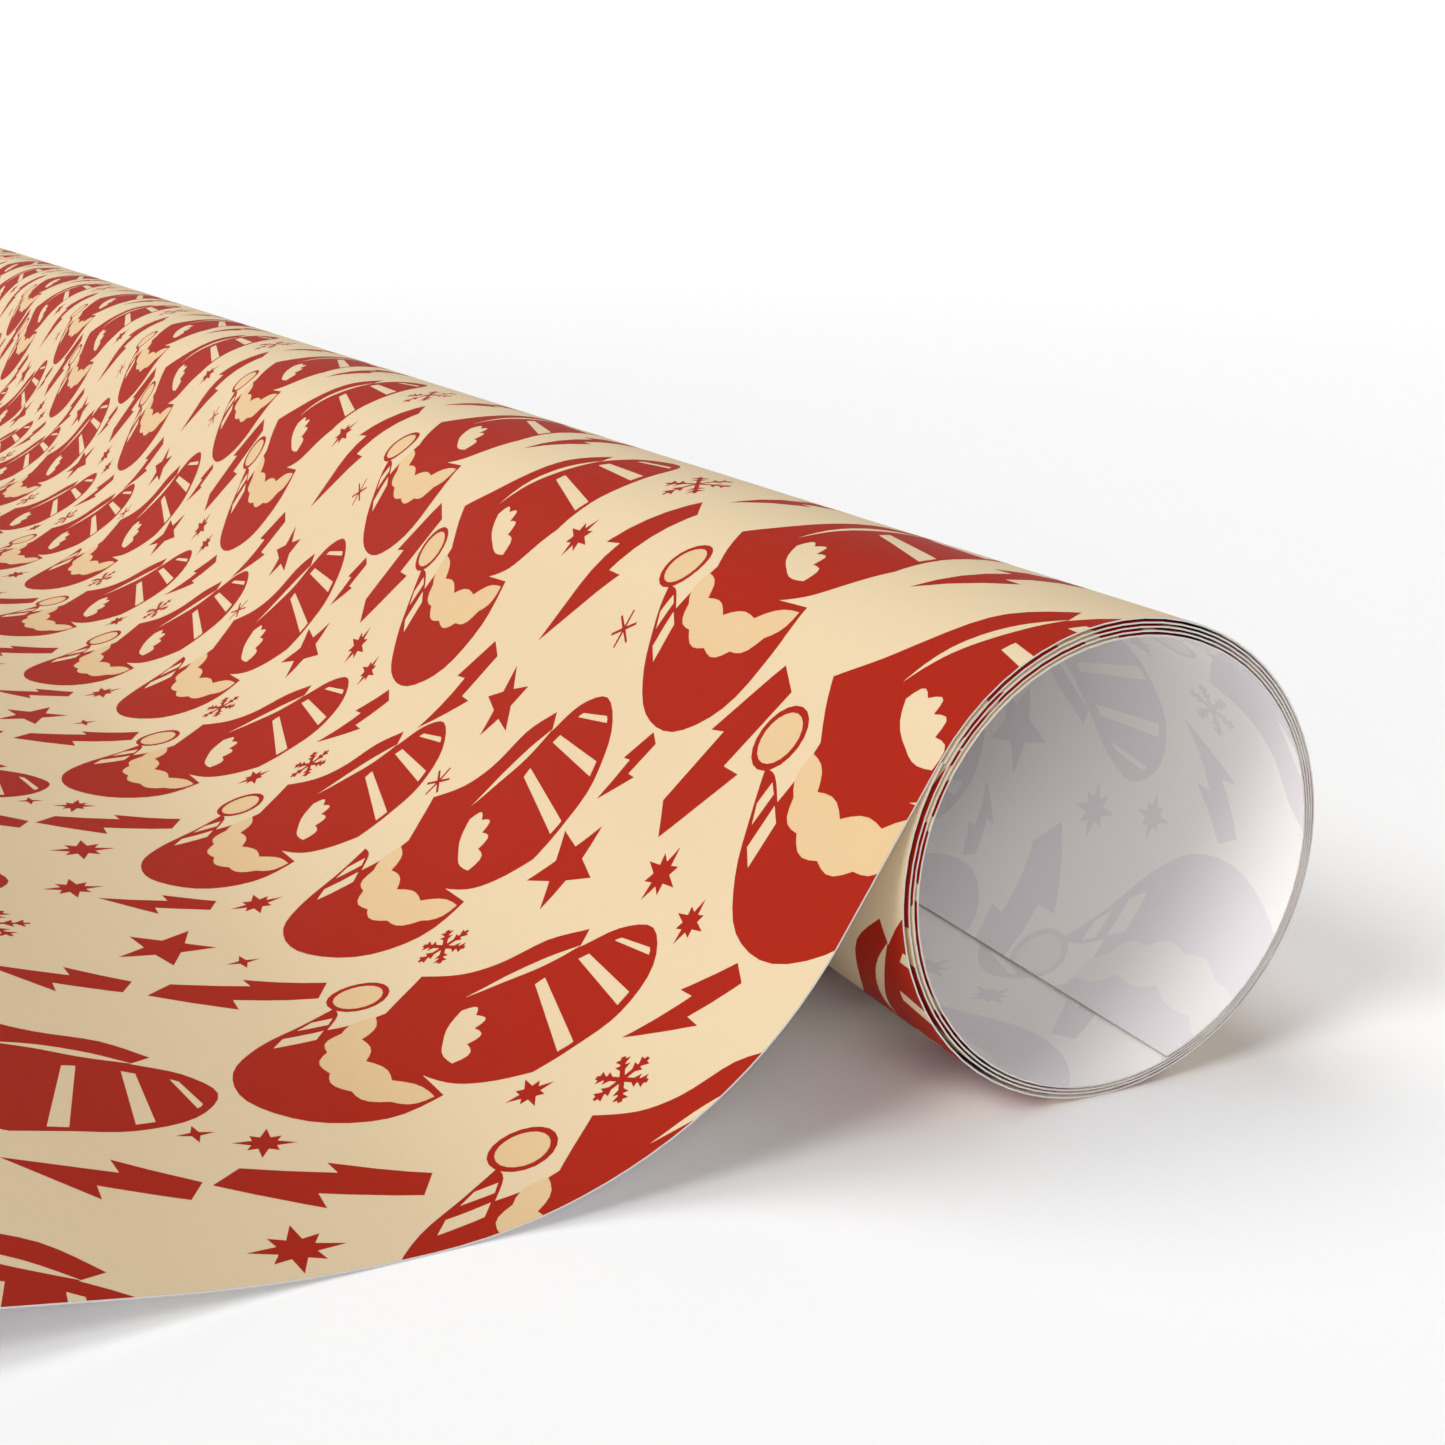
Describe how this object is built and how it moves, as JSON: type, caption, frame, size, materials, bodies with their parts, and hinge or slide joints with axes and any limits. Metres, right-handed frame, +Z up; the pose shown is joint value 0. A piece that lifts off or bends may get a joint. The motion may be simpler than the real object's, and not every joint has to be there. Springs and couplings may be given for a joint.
{
  "type": "gift wrap roll",
  "caption": "Coreless roll of printed gift wrap lying on a surface, with its loose end drawn off to one side over a low ripple.",
  "frame": {"origin": "bottom centre of the whole object's box, on the surface that the paper lies on", "axes": "+Y along the roll, +Z up, the sheet leaves the roll towards -X"},
  "size_m": [0.3676, 0.762, 0.041],
  "materials": {
    "printed_paper": "satin coated paper, red ground printed with cream and peach festive shapes",
    "plain_back": "matt uncoated white back of the paper, with the print faintly showing through"
  },
  "bodies": {
    "lead": {"outer_turn_left": "printed_paper", "outer_turn_under": "printed_paper", "outer_turn_right": "printed_paper", "outer_turn_top": "printed_paper", "lead_off_roll": "printed_paper", "lead_sweep_upper": "printed_paper", "lead_sweep_lower": "printed_paper", "ripple": "printed_paper"},
    "coil": {"fourth_turn": "printed_paper", "third_turn": "printed_paper", "second_turn": "printed_paper", "inner_edge_turn": "plain_back"},
    "sheet": {"loose_sheet": "printed_paper"},
    "free_end": {"free_end": "printed_paper"}
  },
  "joints": [
    {"name": "roll_spin", "type": "hinge", "parent": "lead", "child": "coil", "pos_m": [0.16334, 0, 0.0205], "axis": [0, -1, 0], "range_deg": [0, 140]},
    {"name": "sheet_draw", "type": "slide", "parent": "lead", "child": "sheet", "axis": [-1, 0, 0], "range_m": [0, 0.0502]},
    {"name": "end_lift", "type": "hinge", "parent": "sheet", "child": "free_end", "pos_m": [-0.11799, 0, 0.00005], "axis": [0, 1, 0], "range_deg": [0, 45]}
  ],
  "couplings": [
    {"joint": "sheet_draw", "follows": "roll_spin", "m_per_rad": 0.0205}
  ]
}
